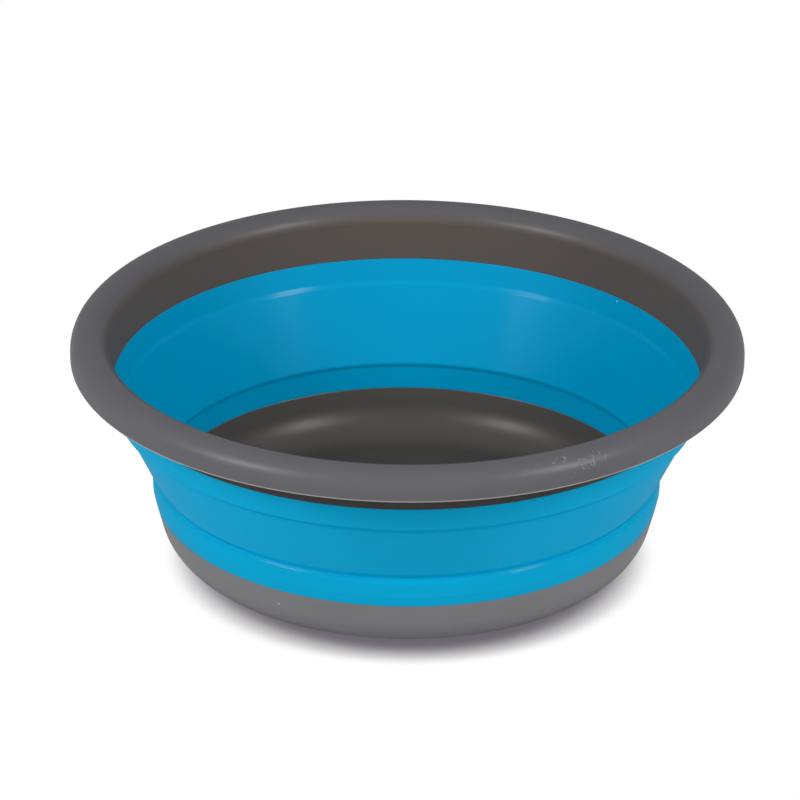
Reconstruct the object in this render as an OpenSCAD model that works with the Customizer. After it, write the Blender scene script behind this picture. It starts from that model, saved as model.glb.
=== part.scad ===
// Folding washing up bowl: a hard rim and a hard base dish joined by a rubbery wall that folds flat.
// Millimetres, +Z up, origin at the middle of the underside. Everything is turned about the Z axis.
// In outlines the first number is the radius and the second is the height.

/* [Base dish] */
// Outside radius of the round corner between underside and side
base_corner_r = 26; // [20:0.5:28]
// Lean of the dish's side, outward from the vertical, in degrees
base_lean = 14.2; // [8:0.2:18]
// Height of the dish's outside edge
base_h = 31.5; // [29:0.5:40]
// How much lower the inside edge of the dish is than its outside edge
base_lap = 3.1; // [1:0.1:4]
// Thickness of the dish
base_t = 2.2; // [1.8:0.1:3]
// Width of the ring that the bowl stands on
foot_w = 16; // [8:1:30]
// Depth of the hollow inside that ring
foot_depth = 0.8; // [0.3:0.1:1.2]

/* [Folding wall] */
// Height of the lower band, from the dish's edge to the middle of its rounded shoulder
lower_band_h = 16; // [12:0.1:22]
// Lean of the lower band, outward from the vertical, in degrees
lower_band_lean = 7.8; // [4:0.2:12]
// Rounding of the shoulder
shoulder_round = 1.3; // [1:0.1:1.6]
// How far the groove above the shoulder cuts back from it
groove_depth = 0.6; // [0.3:0.1:0.9]
// How far the foot of the middle band stands out from the shoulder
middle_step = 0.2; // [0:0.1:0.6]
// Height between the two folds
middle_band_h = 36; // [28:0.5:42]
// Lean of the middle band, outward from the vertical, in degrees
middle_band_lean = 23.8; // [18:0.2:30]
// Thickness of the middle band, measured level
middle_band_t = 1.9; // [1.7:0.1:2.3]
// Height of each fold, the thin ring that bends
fold_h = 2.4; // [1.8:0.1:3]
// Thickness that is left in each fold, measured level
fold_t = 1; // [0.8:0.1:1.2]
// How far the nose inside the lower fold hangs below the fold
nose_drop = 6.2; // [4:0.2:9]
// How far the wall is cut back under that nose
undercut = 0.8; // [0.3:0.1:1.2]
// Height of the slope under that nose
undercut_h = 2; // [1:0.1:3]
// Width of the ledge outside the upper fold
ledge_w = 3; // [2:0.1:4]
// Rounding of the ledge
ledge_round = 1; // [0.6:0.1:1.2]
// Width of the slope inside the upper fold
slope_w = 1.6; // [0.8:0.1:2.2]
// Height of that slope
slope_h = 2.4; // [1.2:0.1:3.4]
// Height of the upper band, from the fold to the collar's outside edge
upper_band_h = 15.6; // [13:0.1:22]
// Lean of the upper band, outward from the vertical, in degrees
upper_band_lean = 12.6; // [8:0.2:18]

/* [Rim] */
// Outside diameter of the rim
rim_d = 370; // [362:1:380]
// Thickness of the rim
rim_t = 2.5; // [2:0.1:3]
// Outside radius of the rolled lip
lip_round = 10.6; // [9:0.1:12]
// Height of the straight skirt below the roll
skirt_h = 3.9; // [2:0.1:8]
// Height of the collar on the outside
collar_h = 19; // [15:0.5:24]
// Lean of the collar, outward from the vertical, in degrees
collar_lean = 5.4; // [3:0.2:8]
// How much lower the inside edge of the collar is than its outside edge
collar_lap = 1.6; // [0.5:0.1:3]

/* [Tongues inside the wall] */
// Thickness of the tongue on the dish and of the one on the collar
tongue_t = 0.9; // [0.7:0.05:1.1]
// Length of each tongue
tongue_l = 4.5; // [3:0.5:6]
// How far the root of each tongue runs down into the edge that it stands on
tongue_root = 0.8; // [0.5:0.1:1]
// Diameter of the bead along a tongue's edge
bead_d = 1.5; // [1.2:0.1:1.6]

/* [Hidden] */
$fn = 180;
hard_grey = [0.42, 0.42, 0.43];
wall_blue = [0.0, 0.57, 0.75];

// Levels, from the underside up
shoulder_z = base_h + lower_band_h;
lower_fold_z = shoulder_z + shoulder_round;
upper_fold_z = lower_fold_z + fold_h / 2 + middle_band_h;
collar_z = upper_fold_z + upper_band_h;
roll_z = collar_z + collar_h;

// Two ends of a straight stretch, read at a given height
function at(a, b, z) = a[0] + (b[0] - a[0]) * (z - a[1]) / (b[1] - a[1]);
// Points along an arc about c, from angle a0 to angle a1, in a number of equal steps
corner_steps = 18;
rounding_steps = 6;
function arc(c, r, a0, a1, steps) =
    [for (i = [0:steps]) c + r * [cos(a0 + (a1 - a0) * i / steps), sin(a0 + (a1 - a0) * i / steps)]];
function unit(v) = v / norm(v);

// Collar: its edge, outside and inside, and its top at the roll
roll_c = [rim_d / 2 - lip_round, roll_z];
collar_slope = tan(collar_lean);
collar_edge = [roll_c[0] - lip_round + rim_t - collar_h * collar_slope, collar_z];
collar_edge_in = [roll_c[0] - lip_round - (collar_h + collar_lap) * collar_slope, collar_z - collar_lap];

// Outside radii of the wall, each from the one above it
ledge_r = collar_edge[0] - upper_band_h * tan(upper_band_lean);
upper_fold_r = ledge_r - ledge_w;
lower_fold_r = upper_fold_r - middle_band_h * tan(middle_band_lean);
shoulder_r = lower_fold_r - middle_step;
base_edge_r = shoulder_r - lower_band_h * tan(lower_band_lean);

// Base dish: centre of its corner, the ends of that corner, then its edge, outside and inside
base_dir = [sin(base_lean), cos(base_lean)];
base_out = [cos(base_lean), -sin(base_lean)];
base_edge = [base_edge_r, base_h];
base_side_h = base_h - base_corner_r * (1 - sin(base_lean));
base_flat_r = base_edge_r - base_side_h * tan(base_lean) - base_corner_r * cos(base_lean);
corner_c = [base_flat_r, base_corner_r];
corner_end_in = corner_c + (base_corner_r - base_t) * base_out;
base_edge_in = [at(corner_end_in, corner_end_in + base_dir, base_h - base_lap), base_h - base_lap];

// Middle band: its outside line runs between the two folds
middle_low = [lower_fold_r, lower_fold_z + fold_h / 2];
middle_high = [upper_fold_r, upper_fold_z];
groove_r = shoulder_r - groove_depth;
// Height above the shoulder's centre at which its rounding meets the groove
groove_rise = sqrt(pow(shoulder_round, 2) - pow(shoulder_round - groove_depth, 2));
fold_middle_z = upper_fold_z - fold_h / 2;
fold_middle_r = at(middle_low, middle_high, fold_middle_z) - middle_band_t + fold_t;
fold_top_r = upper_fold_r - middle_band_t + fold_t;
nose_z = lower_fold_z + fold_h / 2 - nose_drop;
nose_r = at(middle_low, middle_high, nose_z) - middle_band_t;
ledge_c = [ledge_r - ledge_round, upper_fold_z + ledge_round];

shoulder_c = [shoulder_r - shoulder_round, shoulder_z];

wall_outside = concat(
    [base_edge],
    arc(shoulder_c, shoulder_round, -lower_band_lean, asin(groove_rise / shoulder_round), rounding_steps),
    [[groove_r, lower_fold_z + fold_h / 4],
     middle_low,
     [at(middle_low, middle_high, upper_fold_z - fold_h), upper_fold_z - fold_h],
     [fold_middle_r, fold_middle_z],
     [fold_top_r, upper_fold_z]],
    arc(ledge_c, ledge_round, -90, -upper_band_lean, rounding_steps),
    [collar_edge]);
wall_inside = [
    collar_edge_in,
    [upper_fold_r - middle_band_t + slope_w, upper_fold_z + slope_h],
    [upper_fold_r - middle_band_t, upper_fold_z],
    [nose_r, nose_z],
    [nose_r + undercut, nose_z - undercut_h],
    base_edge_in];

// Outline of the whole wall
module wall_outline() {
    polygon(concat(wall_outside, wall_inside));
}

// A tongue that stands on the middle of an edge and points along way, ending in a bead
module tongue_outline(edge_out, edge_in, way) {
    root = (edge_out + edge_in) / 2;
    side = [way[1], -way[0]] * tongue_t / 2;
    foot = root - way * tongue_root;
    tip = root + way * (tongue_l - bead_d / 2);
    polygon([foot + side, tip + side, tip - side, foot - side]);
    translate(tip) circle(d = bead_d, $fn = 24);
}

module base_tongue_outline() {
    tongue_outline(base_edge, base_edge_in, unit([shoulder_r, shoulder_z] - base_edge));
}

module collar_tongue_outline() {
    tongue_outline(collar_edge, collar_edge_in, unit([ledge_r - ledge_w / 3, upper_fold_z] - collar_edge));
}

// The part of the wall between two heights, with the grooves that the tongues fill
module wall_band(low, high) {
    rotate_extrude()
        difference() {
            intersection() {
                wall_outline();
                translate([base_flat_r, low]) square([rim_d / 2 - base_flat_r, high - low]);
            }
            base_tongue_outline();
            collar_tongue_outline();
        }
}

// Hard dish: floor, round corner, leaning side and the tongue on its edge
module base_dish() {
    foot_inner_r = base_flat_r - foot_w;
    color(hard_grey)
        rotate_extrude() {
            polygon(concat(
                [[0, foot_depth], [foot_inner_r, foot_depth], [foot_inner_r, 0]],
                arc(corner_c, base_corner_r, -90, -base_lean, corner_steps),
                [base_edge, base_edge_in],
                arc(corner_c, base_corner_r - base_t, -base_lean, -90, corner_steps),
                [[0, base_t]]));
            base_tongue_outline();
        }
}

// Rubbery band that is moulded onto the dish and ends in the shoulder
module lower_wall_band() {
    color(wall_blue) wall_band(0, lower_fold_z);
}

// Thin ring that bends when the middle band turns inside out
module lower_fold() {
    color(wall_blue) wall_band(lower_fold_z, lower_fold_z + fold_h / 2);
}

// Band that turns inside out
module middle_wall_band() {
    color(wall_blue) wall_band(lower_fold_z + fold_h / 2, upper_fold_z - fold_h);
}

// Thin ring that bends under the ledge
module upper_fold() {
    color(wall_blue) wall_band(upper_fold_z - fold_h, upper_fold_z);
}

// Rubbery band that is moulded onto the collar
module upper_wall_band() {
    color(wall_blue) wall_band(upper_fold_z, roll_z);
}

// Hard collar between the wall and the lip, with the tongue on its edge
module rim_collar() {
    color(hard_grey)
        rotate_extrude() {
            polygon([collar_edge_in, collar_edge, [roll_c[0] - lip_round + rim_t, roll_z],
                     [roll_c[0] - lip_round, roll_z]]);
            collar_tongue_outline();
        }
}

// Hollow lip: the rim's edge rolled outward and down, open below, with a rounded edge
module rim_lip() {
    skirt_bottom = roll_z - skirt_h;
    color(hard_grey)
        rotate_extrude() {
            intersection() {
                difference() {
                    translate(roll_c) circle(r = lip_round);
                    translate(roll_c) circle(r = lip_round - rim_t);
                }
                translate(roll_c - [lip_round, 0]) square([2 * lip_round, lip_round]);
            }
            translate([rim_d / 2 - rim_t, skirt_bottom]) square([rim_t, skirt_h]);
            translate([(rim_d - rim_t) / 2, skirt_bottom]) circle(d = rim_t, $fn = 48);
        }
}

base_dish();
lower_wall_band();
lower_fold();
middle_wall_band();
upper_fold();
upper_wall_band();
rim_collar();
rim_lip();
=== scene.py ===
import math
import bpy
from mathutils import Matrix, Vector


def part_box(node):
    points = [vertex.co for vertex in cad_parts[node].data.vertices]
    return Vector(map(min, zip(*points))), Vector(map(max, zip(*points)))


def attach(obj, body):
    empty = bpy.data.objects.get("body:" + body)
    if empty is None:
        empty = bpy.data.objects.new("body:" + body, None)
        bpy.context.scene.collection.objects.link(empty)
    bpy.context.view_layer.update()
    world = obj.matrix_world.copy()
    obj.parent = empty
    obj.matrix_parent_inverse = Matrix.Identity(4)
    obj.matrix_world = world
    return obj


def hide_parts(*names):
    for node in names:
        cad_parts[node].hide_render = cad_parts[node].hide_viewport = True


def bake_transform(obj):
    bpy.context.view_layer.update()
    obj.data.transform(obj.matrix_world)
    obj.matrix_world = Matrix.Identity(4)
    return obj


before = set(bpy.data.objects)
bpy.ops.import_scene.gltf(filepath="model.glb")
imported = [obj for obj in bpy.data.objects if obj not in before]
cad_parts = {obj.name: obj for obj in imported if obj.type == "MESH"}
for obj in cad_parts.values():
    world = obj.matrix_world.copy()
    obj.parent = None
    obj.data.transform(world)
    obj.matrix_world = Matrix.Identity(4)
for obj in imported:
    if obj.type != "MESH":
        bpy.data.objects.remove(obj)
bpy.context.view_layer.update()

# Rim: one moulding in satin grey polypropylene. A leaning collar runs up into a lip that is rolled
# outward and down, hollow and open below. A tongue with a bead stands on the collar's lower edge,
# and the rubbery wall is moulded round it.
MM = 0.001
rim_low, rim_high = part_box("rim_lip")
rim_thickness = 2.5 * MM
lip_round = 10.6 * MM
lip_r = rim_high.x
lip_middle = (lip_r - lip_round, rim_high.z - lip_round)
skirt_z = rim_low.z + rim_thickness / 2
collar_lean = 5.4
collar_tan = math.tan(math.radians(collar_lean))
collar_out_z = 101.6 * MM
collar_in_z = 100.0 * MM
collar_top_r = lip_middle[0] - lip_round
collar_out_r = collar_top_r + rim_thickness - (lip_middle[1] - collar_out_z) * collar_tan
collar_in_r = collar_top_r - (lip_middle[1] - collar_in_z) * collar_tan
collar_out = (collar_out_r, collar_out_z)
collar_in = (collar_in_r, collar_in_z)
seam_round = 0.3 * MM


def arc(middle, radius, start, end, steps):
    """Points (r, z) along an arc, from the angle start to the angle end, in degrees."""
    turns = [math.radians(start + (end - start) * i / steps) for i in range(steps + 1)]
    return [(middle[0] + radius * math.cos(a), middle[1] + radius * math.sin(a)) for a in turns]


longest_step = 2.2 * MM
shortest_side = 1.2 * MM
edge_step = 0.15 * MM
rounding_steps = 5
most_of_side = 0.48


def rounded(corners, closed=True):
    """An outline (r, z) from corners (r, z, rounding).

    Each straight side is cut into short steps, and a long side has one more cut close to each end,
    which keeps the shading flat between two roundings.
    """
    line = []
    for i, (r, z, rounding) in enumerate(corners):
        if rounding == 0:
            line.append((r, z))
            continue
        before = corners[i - 1]
        after = corners[(i + 1) % len(corners)]
        back = (before[0] - r, before[1] - z)
        on = (after[0] - r, after[1] - z)
        back_length = math.hypot(*back)
        on_length = math.hypot(*on)
        half = math.acos((back[0] * on[0] + back[1] * on[1]) / (back_length * on_length)) / 2
        reach = min(rounding / math.tan(half), most_of_side * back_length, most_of_side * on_length)
        first = (r + back[0] / back_length * reach, z + back[1] / back_length * reach)
        last = (r + on[0] / on_length * reach, z + on[1] / on_length * reach)
        for t in [k / rounding_steps for k in range(rounding_steps + 1)]:
            line.append(((1 - t) ** 2 * first[0] + 2 * t * (1 - t) * r + t * t * last[0],
                         (1 - t) ** 2 * first[1] + 2 * t * (1 - t) * z + t * t * last[1]))
    ends = line[1:] + line[:1] if closed else line[1:]
    cut = []
    for (r, z), (r_end, z_end) in zip(line, ends):
        length = math.hypot(r_end - r, z_end - z)
        parts = max(1, round(length / longest_step))
        shares = [k / parts for k in range(parts)]
        if length > shortest_side:
            shares += [edge_step / length, 1 - edge_step / length]
        cut += [(r + (r_end - r) * share, z + (z_end - z) * share) for share in sorted(shares)]
    return cut if closed else cut + line[-1:]


tongue_width = 0.9 * MM
tongue_length = 4.5 * MM
bead_round = 0.75 * MM
neck_in_bead = 0.15 * MM


def tongue(out_edge, in_edge, towards):
    """Corners of the tongue that stands on the middle of an edge and points towards a place.

    They run from its outer side over the bead to its inner side.
    """
    root = ((out_edge[0] + in_edge[0]) / 2, (out_edge[1] + in_edge[1]) / 2)
    length = math.hypot(towards[0] - out_edge[0], towards[1] - out_edge[1])
    way = ((towards[0] - out_edge[0]) / length, (towards[1] - out_edge[1]) / length)
    side = (abs(way[1]), -way[0] * math.copysign(1, way[1]))
    neck = tongue_length - 2 * bead_round + neck_in_bead
    spots = [(tongue_width / 2, 0), (tongue_width / 2, neck)]
    spots += arc((0, tongue_length - bead_round), bead_round, -50, 230, 10)
    spots += [(-tongue_width / 2, neck), (-tongue_width / 2, 0)]
    return [(root[0] + side[0] * out + way[0] * on, root[1] + side[1] * out + way[1] * on, 0)
            for out, on in spots]


turning_r = 100 * MM
merge_distance = 0.01 * MM


def turning_tree():
    """Geometry nodes that turn an outline, drawn in the XZ plane, once round the Z axis."""
    tree = bpy.data.node_groups.new("turned_outline", "GeometryNodeTree")
    tree.interface.new_socket("Outline", in_out="INPUT", socket_type="NodeSocketGeometry")
    steps = tree.interface.new_socket("Steps round", in_out="INPUT", socket_type="NodeSocketInt")
    finish = tree.interface.new_socket("Finish", in_out="INPUT", socket_type="NodeSocketMaterial")
    tree.interface.new_socket("Piece", in_out="OUTPUT", socket_type="NodeSocketGeometry")
    node = tree.nodes.new
    link = tree.links.new
    given = node("NodeGroupInput")
    result = node("NodeGroupOutput")
    outline = node("GeometryNodeMeshToCurve")
    circle = node("GeometryNodeCurvePrimitiveCircle")
    upright = node("GeometryNodeSetCurveNormal")
    sweep = node("GeometryNodeCurveToMesh")
    merge = node("GeometryNodeMergeByDistance")
    real = node("GeometryNodeRealizeInstances")
    smooth = node("GeometryNodeSetShadeSmooth")
    paint = node("GeometryNodeSetMaterial")
    circle.inputs["Radius"].default_value = turning_r
    upright.mode = "Z_UP"
    merge.inputs["Distance"].default_value = merge_distance
    link(given.outputs["Outline"], outline.inputs["Mesh"])
    link(given.outputs["Steps round"], circle.inputs["Resolution"])
    link(circle.outputs["Curve"], upright.inputs["Curve"])
    link(upright.outputs["Curve"], sweep.inputs["Curve"])
    link(outline.outputs["Curve"], sweep.inputs["Profile Curve"])
    link(sweep.outputs["Mesh"], merge.inputs["Geometry"])
    link(merge.outputs["Geometry"], real.inputs["Geometry"])
    link(real.outputs["Geometry"], smooth.inputs["Geometry"])
    link(smooth.outputs["Geometry"], paint.inputs["Geometry"])
    link(given.outputs["Finish"], paint.inputs["Material"])
    link(paint.outputs["Geometry"], result.inputs["Piece"])
    return tree, steps.identifier, finish.identifier


turning, steps_socket, finish_socket = turning_tree()
steps_round = 288


def turned(name, outline, finish, tone_at, closed=True):
    """A moulding whose outline (r, z) is turned once round the bowl's axis, as a plain mesh.

    tone_at(r, z) gives what the finish's colour is multiplied by there, which paints light and shade on it,
    kept as the attribute tone.
    The outline is put in the order that makes the faces look outwards.
    """
    area = sum(a[0] * b[1] - b[0] * a[1] for a, b in zip(outline, outline[1:] + outline[:1]))
    if area > 0:
        outline = outline[::-1]
    drawn = bpy.data.meshes.new(name + "_outline")
    count = len(outline) if closed else len(outline) - 1
    drawn.from_pydata([(r - turning_r, -z, 0) for r, z in outline],
                      [(i, (i + 1) % len(outline)) for i in range(count)], [])
    tone = drawn.attributes.new("tone", "FLOAT_VECTOR", "POINT")
    tone.data.foreach_set("vector", [share for r, z in outline for share in tone_at(r, z)])
    piece = bpy.data.objects.new(name, drawn)
    bpy.context.scene.collection.objects.link(piece)
    turn = piece.modifiers.new("turn", "NODES")
    turn.node_group = turning
    turn[steps_socket] = steps_round
    turn[finish_socket] = finish
    finished = piece.evaluated_get(bpy.context.evaluated_depsgraph_get())
    mesh = bpy.data.meshes.new_from_object(finished)
    piece.modifiers.remove(turn)
    piece.data = mesh
    mesh.name = name
    return piece


clouds_per_metre = 28
specks_per_metre = 45
speck_size = 0.022
speck_rarity = 0.72
roughness_spread = 0.05
grain_strength = 0.4
no_gloss = 0.0


def moulded(name, colour, roughness, skin_gloss, mottle, grain_per_metre, grain_depth, speck):
    """A moulded finish: a matt body under a thin glossy skin, with fine grain.

    Its colour is faintly cloudy, is multiplied by the piece's tone, which paints light and shade on it, and
    has a few pale specks of dust.
    """
    finish = bpy.data.materials.new(name)
    finish.use_nodes = True
    tree = finish.node_tree
    node = tree.nodes.new
    link = tree.links.new
    shader = tree.nodes["Principled BSDF"]
    shader.inputs["Specular IOR Level"].default_value = no_gloss
    shader.inputs["Coat Weight"].default_value = skin_gloss
    shader.inputs["Coat Roughness"].default_value = roughness
    place = node("ShaderNodeTexCoord").outputs["Object"]
    clouds = node("ShaderNodeTexNoise")
    clouds.inputs["Scale"].default_value = clouds_per_metre
    clouds.inputs["Detail"].default_value = 4
    grain = node("ShaderNodeTexNoise")
    grain.inputs["Scale"].default_value = grain_per_metre
    grain.inputs["Detail"].default_value = 3
    dust = node("ShaderNodeTexVoronoi")
    dust.inputs["Scale"].default_value = specks_per_metre
    tint = node("ShaderNodeMix")
    tint.data_type = "RGBA"
    tint.inputs["A"].default_value = (*[c * (1 - mottle) for c in colour], 1)
    tint.inputs["B"].default_value = (*[min(1, c * (1 + mottle)) for c in colour], 1)
    tone = node("ShaderNodeAttribute")
    tone.attribute_name = "tone"
    toned = node("ShaderNodeMix")
    toned.data_type = "RGBA"
    toned.blend_type = "MULTIPLY"
    toned.inputs["Factor"].default_value = 1
    small = node("ShaderNodeMath")
    small.operation = "LESS_THAN"
    small.inputs[1].default_value = speck_size
    rare = node("ShaderNodeMath")
    rare.operation = "GREATER_THAN"
    rare.inputs[1].default_value = speck_rarity
    small_and_rare = node("ShaderNodeMath")
    small_and_rare.operation = "MULTIPLY"
    dusty = node("ShaderNodeMix")
    dusty.data_type = "RGBA"
    dusty.inputs["B"].default_value = (*speck, 1)
    uneven = node("ShaderNodeMapRange")
    uneven.inputs["To Min"].default_value = roughness - roughness_spread
    uneven.inputs["To Max"].default_value = roughness + roughness_spread
    bump = node("ShaderNodeBump")
    bump.inputs["Strength"].default_value = grain_strength
    bump.inputs["Distance"].default_value = grain_depth
    for texture in (clouds, grain, dust):
        link(place, texture.inputs["Vector"])
    link(clouds.outputs["Fac"], tint.inputs["Factor"])
    link(clouds.outputs["Fac"], uneven.inputs["Value"])
    link(grain.outputs["Fac"], bump.inputs["Height"])
    link(tint.outputs["Result"], toned.inputs["A"])
    link(tone.outputs["Vector"], toned.inputs["B"])
    link(dust.outputs["Distance"], small.inputs[0])
    link(dust.outputs["Color"], rare.inputs[0])
    link(small.outputs[0], small_and_rare.inputs[0])
    link(rare.outputs[0], small_and_rare.inputs[1])
    link(small_and_rare.outputs[0], dusty.inputs["Factor"])
    link(toned.outputs["Result"], dusty.inputs["A"])
    link(dusty.outputs["Result"], shader.inputs["Base Color"])
    link(uneven.outputs["Result"], shader.inputs["Roughness"])
    link(bump.outputs["Normal"], shader.inputs["Normal"])
    link(bump.outputs["Normal"], shader.inputs["Coat Normal"])
    return finish


curls_per_metre = 130
curl_width = 0.0055
breaks_per_metre = 160
break_share = 0.52
fade_from = 0.7


def scuffed(finish, middle, turn, reach, pale):
    """Adds short curly scratches to a finish, within an oval of half sizes reach about a middle."""
    tree = finish.node_tree
    node = tree.nodes.new
    link = tree.links.new
    shader = tree.nodes["Principled BSDF"]
    place = node("ShaderNodeTexCoord").outputs["Object"]
    off = node("ShaderNodeVectorMath")
    off.operation = "SUBTRACT"
    off.inputs[1].default_value = middle
    turned_off = node("ShaderNodeVectorRotate")
    turned_off.rotation_type = "Z_AXIS"
    turned_off.inputs["Angle"].default_value = math.radians(turn)
    in_oval = node("ShaderNodeVectorMath")
    in_oval.operation = "DIVIDE"
    in_oval.inputs[1].default_value = reach
    far = node("ShaderNodeVectorMath")
    far.operation = "LENGTH"
    near = node("ShaderNodeMapRange")
    near.inputs["From Min"].default_value = 1
    near.inputs["From Max"].default_value = fade_from
    curls = node("ShaderNodeTexNoise")
    curls.inputs["Scale"].default_value = curls_per_metre
    curls.inputs["Detail"].default_value = 1
    curls.inputs["Distortion"].default_value = 0.6
    breaks = node("ShaderNodeTexNoise")
    breaks.inputs["Scale"].default_value = breaks_per_metre
    line = node("ShaderNodeMath")
    line.operation = "COMPARE"
    line.inputs[1].default_value = 0.5
    line.inputs[2].default_value = curl_width
    broken = node("ShaderNodeMath")
    broken.operation = "GREATER_THAN"
    broken.inputs[1].default_value = break_share
    cut = node("ShaderNodeMath")
    cut.operation = "MULTIPLY"
    shown = node("ShaderNodeMath")
    shown.operation = "MULTIPLY"
    scratch = node("ShaderNodeMix")
    scratch.data_type = "RGBA"
    scratch.inputs["B"].default_value = (*pale, 1)
    link(place, off.inputs[0])
    link(off.outputs[0], turned_off.inputs["Vector"])
    link(turned_off.outputs[0], in_oval.inputs[0])
    link(in_oval.outputs[0], far.inputs[0])
    link(far.outputs["Value"], near.inputs["Value"])
    link(place, curls.inputs["Vector"])
    link(place, breaks.inputs["Vector"])
    link(curls.outputs["Fac"], line.inputs[0])
    link(breaks.outputs["Fac"], broken.inputs[0])
    link(line.outputs[0], cut.inputs[0])
    link(broken.outputs[0], cut.inputs[1])
    link(cut.outputs[0], shown.inputs[0])
    link(near.outputs[0], shown.inputs[1])
    link(shown.outputs[0], scratch.inputs["Factor"])
    link(shader.inputs["Base Color"].links[0].from_socket, scratch.inputs["A"])
    link(scratch.outputs["Result"], shader.inputs["Base Color"])


plastic_mottle = 0.05
plastic_grain_per_metre = 1400
plastic_grain_depth = 0.03 * MM
plastic_speck = (0.4, 0.4, 0.4)
rim_finish = moulded(
    "satin_grey_plastic",
    colour=(0.075, 0.0745, 0.083),
    roughness=0.35,
    skin_gloss=0.27,
    mottle=plastic_mottle,
    grain_per_metre=plastic_grain_per_metre,
    grain_depth=plastic_grain_depth,
    speck=plastic_speck,
)
scuffed(
    rim_finish,
    middle=(84 * MM, -162 * MM, 127 * MM),
    turn=-27,
    reach=(30 * MM, 6 * MM, 5 * MM),
    pale=(0.24, 0.24, 0.26),
)
plain_tone = (1, 1, 1)
# Painted light: tints the inside of the rim warm, for the warmer light inside the bowl.
painted_warm_cast_tone = (1.1, 0.92, 0.74)
# Painted shade: darkens the collar's outer face in the hollow under the lip, where shade falls.
painted_shade_hollow_tone = (0.45, 0.41, 0.36)
# Partly wear, partly painted highlight: a pale line along the skirt's bottom edge, where it catches light.
worn_edge_highlight_tone = (3.4, 3.1, 2.6)
skin = 0.5 * MM
thin_skin = 0.3 * MM
inside_start = 0.7
inside_fade = 0.25
worn_highlit_width = 0.7 * rim_thickness


def rim_tone(r, z):
    """Painted light and shade: warmer inside the bowl, a painted warm cast of the light there; painted
    shade in the hollow under the lip; and pale along the skirt's bottom edge, partly wear and partly a
    painted highlight.
    """
    from_roll = math.hypot(r - lip_middle[0], max(0, z - lip_middle[1]))
    in_line = collar_in_r + (z - collar_in_z) * collar_tan
    if z > lip_middle[1] and from_roll > lip_round - skin:
        share = min(1, max(0, (lip_middle[0] - r) / lip_round - inside_start) / inside_fade)
        return [1 + share * (tone - 1) for tone in painted_warm_cast_tone]
    if z <= lip_middle[1] and r < in_line + skin:
        return painted_warm_cast_tone
    # The skirt's bottom edge: pale from wear and from a painted highlight.
    if z < skirt_z - thin_skin and r > lip_r - rim_thickness:
        return worn_edge_highlight_tone if r > lip_r - worn_highlit_width else plain_tone
    if r > lip_r - skin:
        return plain_tone
    # Painted shade in the hollow under the lip.
    return painted_shade_hollow_tone


aim_inset = 4.5 * MM
tongue_aim = (collar_out_r - aim_inset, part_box("upper_fold")[1].z)
lip_outline = arc(lip_middle, lip_round, 180, 0, 40)
lip_outline += arc((lip_r - rim_thickness / 2, skirt_z), rim_thickness / 2, 0, -180, 12)
lip_outline += arc(lip_middle, lip_round - rim_thickness, 0, 180, 30)
rim_corners = [(r, z, 0) for r, z in lip_outline]
rim_corners += [(*collar_out, seam_round)]
rim_corners += tongue(collar_out, collar_in, tongue_aim)
rim_corners += [(*collar_in, seam_round)]
rim = turned("rim", rounded(rim_corners), rim_finish, rim_tone)
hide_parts("rim_collar", "rim_lip")
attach(rim, "rim")

# Base dish: one moulding in the same grey plastic with a finer matt skin. A flat floor turns up through
# a large round corner into a low leaning side. It stands on a flat ring, and its upper edge carries
# the same kind of tongue as the collar.
dish_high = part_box("base_dish")[1]
lower_low, lower_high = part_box("lower_wall_band")
dish_thickness = 2.2 * MM
dish_lean = 14.2
lean_tan = math.tan(math.radians(dish_lean))
lean_sin = math.sin(math.radians(dish_lean))
lean_cos = math.cos(math.radians(dish_lean))
dish_corner = 26 * MM
dish_in_corner = dish_corner - dish_thickness
dish_out = (dish_high.x, 31.5 * MM)
dish_in_z = lower_low.z
dish_in_r = dish_out[0] - dish_thickness / lean_cos - (dish_out[1] - dish_in_z) * lean_tan
dish_in = (dish_in_r, dish_in_z)
corner_top_z = dish_corner * (1 - lean_sin)
corner_r = dish_out[0] - (dish_out[1] - corner_top_z) * lean_tan - dish_corner * lean_cos
corner_middle = (corner_r, dish_corner)
foot_in_r = corner_r - 16 * MM
foot_depth = 0.8 * MM
foot_round = 0.3 * MM
gate_r = 1.6 * MM
gate_z = foot_depth - 0.3 * MM
gate_slope = 0.1 * MM
gate_round = 0.2 * MM
shoulder = (lower_high.x, 47.5 * MM)
base_finish = moulded(
    "matt_grey_plastic",
    colour=(0.12, 0.118, 0.123),
    roughness=0.36,
    skin_gloss=0.36,
    mottle=plastic_mottle,
    grain_per_metre=plastic_grain_per_metre,
    grain_depth=plastic_grain_depth,
    speck=plastic_speck,
)
# Painted shade: darkens and warms the dish's inner face for the shade inside the bowl.
painted_shade_dish_tone = (0.5, 0.46, 0.39)


def base_tone(r, z):
    """Painted shade: darker and warmer where the dish faces the inside of the bowl, where less and warmer
    light falls.
    """
    if z < dish_corner - dish_in_corner * lean_sin:
        inside = math.hypot(max(0, r - corner_r), z - dish_corner) < dish_in_corner + thin_skin
    else:
        inside = r < dish_in_r + (z - dish_in_z) * lean_tan + thin_skin
    return painted_shade_dish_tone if inside and z > dish_thickness - thin_skin else plain_tone


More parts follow.
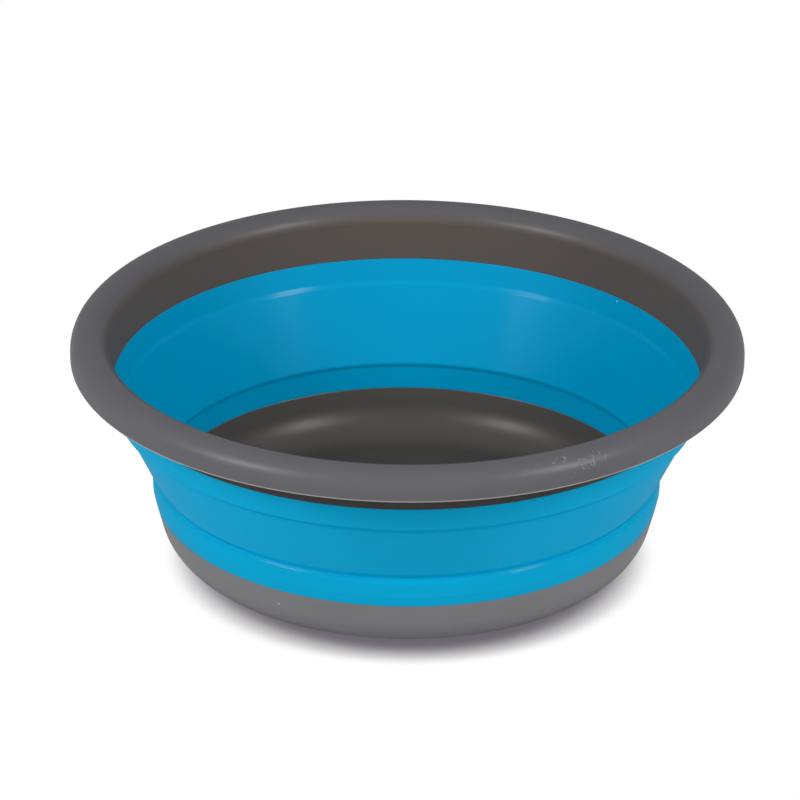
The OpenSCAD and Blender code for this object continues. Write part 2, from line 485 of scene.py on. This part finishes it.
dish_corners = [(0, gate_z, 0)]
dish_corners += [(gate_r, gate_z, gate_round)]
dish_corners += [(gate_r + gate_slope, foot_depth, gate_slope)]
dish_corners += [(foot_in_r - foot_round, foot_depth, foot_round)]
dish_corners += [(foot_in_r, 0, foot_round)]
dish_corners += [(r, z, 0) for r, z in arc(corner_middle, dish_corner, -90, -dish_lean, 24)]
dish_corners += [(*dish_out, seam_round)]
dish_corners += tongue(dish_out, dish_in, shoulder)
dish_corners += [(*dish_in, seam_round)]
dish_corners += [(r, z, 0) for r, z in arc(corner_middle, dish_in_corner, -dish_lean, -90, 24)]
dish_corners += [(0, dish_thickness, 0)]
base = turned("base", rounded(dish_corners, closed=False), base_finish, base_tone, closed=False)
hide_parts("base_dish")
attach(base, "base")

# Wall: one moulding in silky blue rubber, moulded onto the dish and the collar. Two thin folds divide
# it into three bands, and the middle one turns inside out when the bowl is pushed flat. A rounded
# shoulder stands outside below the lower fold, a nose inside it, and a ledge above the upper fold.
band_thickness = 1.9 * MM
lower_fold_low, lower_fold_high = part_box("lower_fold")
band_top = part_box("middle_wall_band")[1]
fold_low_z = lower_fold_low.z
fold_high_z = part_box("upper_fold")[1].z
band_low = (lower_fold_high.x, lower_fold_high.z)
band_high = (band_top.x, band_top.z)
band_slope = (band_high[0] - band_low[0]) / (band_high[1] - band_low[1])


def band_r(z, depth):
    """Radius of the middle band at a height, a given depth inside its outer face."""
    return band_low[0] + (z - band_low[1]) * band_slope - depth


bulge = (dish_out[0] + 1.3 * MM, dish_out[1] + 6 * MM)
bulge_round = 8.0 * MM
shoulder_round = 4.0 * MM
shoulder_middle = (shoulder[0] - 0.8 * MM - shoulder_round, shoulder[1] - 3.2 * MM)
groove = (shoulder[0] - 1.9 * MM, fold_low_z - 0.2 * MM)
groove_round = 2.0 * MM
band_foot = (band_low[0] - 0.5 * MM, fold_low_z + 2.2 * MM)
band_foot_round = 4.0 * MM
band_top_round = 0.8 * MM
upper_groove_z = (band_high[1] + fold_high_z) / 2
upper_groove = (band_r(upper_groove_z, 0.4 * MM), upper_groove_z)
upper_groove_round = 1.5 * MM
ledge = (band_r(fold_high_z, 0) + 3.0 * MM, fold_high_z + 1.6 * MM)
ledge_round = 3.0 * MM
upper_fold_in = (band_r(fold_high_z, band_thickness), fold_high_z)
slope_top = (upper_fold_in[0] + 1.6 * MM, upper_fold_in[1] + 2.4 * MM)
slope_round = 0.6 * MM
nose_z = band_low[1] - 6.2 * MM
nose = (band_r(nose_z, band_thickness), nose_z)
nose_round = 5.0 * MM
undercut = (nose[0] + 0.8 * MM, nose[1] - 2.0 * MM)
undercut_round = 4.0 * MM
wall_finish = moulded(
    "silky_blue_rubber",
    colour=(0.0, 0.238, 0.412),
    roughness=0.15,
    skin_gloss=0.085,
    mottle=0.03,
    grain_per_metre=900,
    grain_depth=0.02 * MM,
    speck=(0.5, 0.75, 0.85),
)
# Painted light: tints the wall's inner face a little bluer.
painted_light_inner_wall_tone = (1, 1, 1.06)


def wall_tone(r, z):
    """Painted light: a little bluer where the wall faces the inside of the bowl, a tint of the light there,
    not of the rubber.
    """
    if z > nose_z:
        inside = r < band_r(z, band_thickness / 2)
    else:
        inside = r < (dish_out[0] + dish_in[0]) / 2
    return painted_light_inner_wall_tone if inside else plain_tone


wall_corners = [(*dish_out, seam_round)]
wall_corners += [(*bulge, bulge_round)]
wall_corners += [(r, z, 0) for r, z in arc(shoulder_middle, shoulder_round, -3, 52, 8)]
wall_corners += [(*groove, groove_round)]
wall_corners += [(*band_foot, band_foot_round)]
wall_corners += [(*band_high, band_top_round)]
wall_corners += [(*upper_groove, upper_groove_round)]
wall_corners += [(*ledge, ledge_round)]
wall_corners += [(*collar_out, seam_round)]
wall_corners += tongue(collar_out, collar_in, tongue_aim)
wall_corners += [(*collar_in, seam_round)]
wall_corners += [(*slope_top, slope_round)]
wall_corners += [(*upper_fold_in, slope_round)]
wall_corners += [(*nose, nose_round)]
wall_corners += [(*undercut, undercut_round)]
wall_corners += [(*dish_in, seam_round)]
wall_corners += tongue(dish_out, dish_in, shoulder)[::-1]
wall = turned("wall", rounded(wall_corners), wall_finish, wall_tone)
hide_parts("lower_wall_band", "lower_fold", "middle_wall_band", "upper_fold", "upper_wall_band")
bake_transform(wall)

# Floor: a wide sheet of white studio card, a hair below the foot. What sees it straight, or in gloss
# or glass, finds plain white with a painted shadow that darkens it close to the bowl, most in front
# of it; the shadow is painted from how much of the sky the bowl hides, not cast by the lamps.
# All other light meets pale matt card.
floor_half = 6.0
floor_z = -0.05 * MM
floor_corners = [(x * floor_half, y * floor_half, floor_z) for x, y in ((-1, -1), (1, -1), (1, 1), (-1, 1))]
floor_mesh = bpy.data.meshes.new("floor")
floor_mesh.from_pydata(floor_corners, [], [(0, 1, 2, 3)])
floor = bpy.data.objects.new("floor", floor_mesh)
bpy.context.scene.collection.objects.link(floor)
white = (1, 1, 1, 1)
card_colour = (0.9, 0.9, 0.9, 1)
shade_colour = (0.145, 0.13, 0.155, 1)
shade_reach = 28 * MM
shade_lean = (-0.1, 0.65, 0.76)
darkest_share = 0.16
white_share = 0.56


def backdrop_rays(tree):
    """A socket that is 1 for camera, glossy and transmission rays, which see the white backdrop."""
    rays = tree.nodes.new("ShaderNodeLightPath")
    gloss_or_glass = tree.nodes.new("ShaderNodeMath")
    gloss_or_glass.operation = "MAXIMUM"
    any_of_them = tree.nodes.new("ShaderNodeMath")
    any_of_them.operation = "MAXIMUM"
    tree.links.new(rays.outputs["Is Glossy Ray"], gloss_or_glass.inputs[0])
    tree.links.new(rays.outputs["Is Transmission Ray"], gloss_or_glass.inputs[1])
    tree.links.new(rays.outputs["Is Camera Ray"], any_of_them.inputs[0])
    tree.links.new(gloss_or_glass.outputs[0], any_of_them.inputs[1])
    return any_of_them.outputs[0]


card = bpy.data.materials.new("white_card")
card.use_nodes = True
card_node = card.node_tree.nodes.new
card_link = card.node_tree.links.new
card_shader = card.node_tree.nodes["Principled BSDF"]
card_shader.inputs["Base Color"].default_value = card_colour
card_shader.inputs["Roughness"].default_value = 0.9
card_shader.inputs["Specular IOR Level"].default_value = 0.2
lean = card_node("ShaderNodeCombineXYZ")
lean.inputs["X"].default_value = shade_lean[0]
lean.inputs["Y"].default_value = shade_lean[1]
lean.inputs["Z"].default_value = shade_lean[2]
# Painted shadow: the card glows darker where the bowl hides much of the sky close by.
open_share = card_node("ShaderNodeAmbientOcclusion")
open_share.inputs["Distance"].default_value = shade_reach
open_share.samples = 24
fade = card_node("ShaderNodeMapRange")
fade.inputs["From Min"].default_value = darkest_share
fade.inputs["From Max"].default_value = white_share
shade = card_node("ShaderNodeMix")
shade.data_type = "RGBA"
shade.inputs["A"].default_value = shade_colour
shade.inputs["B"].default_value = white
card_seen = card_node("ShaderNodeEmission")
card_pick = card_node("ShaderNodeMixShader")
card_link(lean.outputs[0], open_share.inputs["Normal"])
card_link(open_share.outputs["AO"], fade.inputs["Value"])
card_link(fade.outputs[0], shade.inputs["Factor"])
card_link(shade.outputs["Result"], card_seen.inputs["Color"])
card_link(backdrop_rays(card.node_tree), card_pick.inputs["Fac"])
card_link(card_shader.outputs[0], card_pick.inputs[1])
card_link(card_seen.outputs[0], card_pick.inputs[2])
card_link(card_pick.outputs[0], card.node_tree.nodes["Material Output"].inputs["Surface"])
floor_mesh.materials.append(card)

# Light: a white studio that is brighter in front of the bowl than behind it and overhead, with one
# small soft lamp at each side of the front. The backdrop is plain white to whatever sees it.
behind_light = 0.24
behind_edge = 0.35
front_light = 0.81
front_edge = -0.4
overhead_share = 0.15
overhead_edge = 0.75
world = bpy.data.worlds.new("studio")
bpy.context.scene.world = world
world.use_nodes = True
world_node = world.node_tree.nodes.new
world_link = world.node_tree.links.new
around = world.node_tree.nodes["Background"]
around.inputs["Color"].default_value = white
way_in = world_node("ShaderNodeTexCoord")
way = world_node("ShaderNodeSeparateXYZ")
front = world_node("ShaderNodeMapRange")
front.inputs["From Min"].default_value = behind_edge
front.inputs["From Max"].default_value = front_edge
front.inputs["To Min"].default_value = behind_light
front.inputs["To Max"].default_value = front_light
overhead = world_node("ShaderNodeMapRange")
overhead.inputs["From Min"].default_value = overhead_edge
overhead.inputs["From Max"].default_value = 1.0
overhead.inputs["To Min"].default_value = 1
overhead.inputs["To Max"].default_value = overhead_share
level = world_node("ShaderNodeMath")
level.operation = "MULTIPLY"
world_link(way_in.outputs["Generated"], way.inputs[0])
world_link(way.outputs["Y"], front.inputs["Value"])
world_link(way.outputs["Z"], overhead.inputs["Value"])
world_link(front.outputs[0], level.inputs[0])
world_link(overhead.outputs[0], level.inputs[1])
world_link(level.outputs[0], around.inputs["Strength"])
backdrop = world_node("ShaderNodeBackground")
backdrop.inputs["Color"].default_value = white
backdrop.inputs["Strength"].default_value = 1.0
world_pick = world_node("ShaderNodeMixShader")
world_link(backdrop_rays(world.node_tree), world_pick.inputs["Fac"])
world_link(around.outputs[0], world_pick.inputs[1])
world_link(backdrop.outputs[0], world_pick.inputs[2])
world_link(world_pick.outputs[0], world.node_tree.nodes["World Output"].inputs["Surface"])

lamp_distance = 1.7
bowl_middle_z = 80 * MM


def soft_lamp(name, turn, lift, width, height, power):
    """A rectangular lamp that faces the bowl, turned from the front to the right and lifted, in degrees."""
    turn = math.radians(turn)
    lift = math.radians(lift)
    target = Vector((0, 0, bowl_middle_z))
    place = Vector((lamp_distance * math.cos(lift) * math.sin(turn),
                    -lamp_distance * math.cos(lift) * math.cos(turn),
                    lamp_distance * math.sin(lift) + bowl_middle_z))
    lamp = bpy.data.lights.new(name, "AREA")
    lamp.shape = "RECTANGLE"
    lamp.size = width
    lamp.size_y = height
    lamp.energy = power
    stand = bpy.data.objects.new(name, lamp)
    bpy.context.scene.collection.objects.link(stand)
    stand.location = place
    stand.rotation_euler = (target - place).to_track_quat("-Z", "Y").to_euler()


soft_lamp("left_lamp", turn=-56, lift=32, width=0.5, height=0.5, power=20.5)
soft_lamp("right_lamp", turn=56, lift=34, width=0.33, height=0.6, power=18.5)

# Camera: a long lens that looks at the bowl from the front and from 25 degrees above the floor,
# a shade out of level, as the photograph was taken.
camera = bpy.data.cameras.new("camera")
camera.sensor_width = 36
camera.lens = 202.5
camera_stand = bpy.data.objects.new("camera", camera)
bpy.context.scene.collection.objects.link(camera_stand)
camera_stand.location = (0, -2.2457, 1.1575)
camera_stand.rotation_euler = [math.radians(a) for a in (64.491, -0.359, 0.270)]
bpy.context.scene.camera = camera_stand
bpy.context.scene.view_settings.view_transform = "Standard"
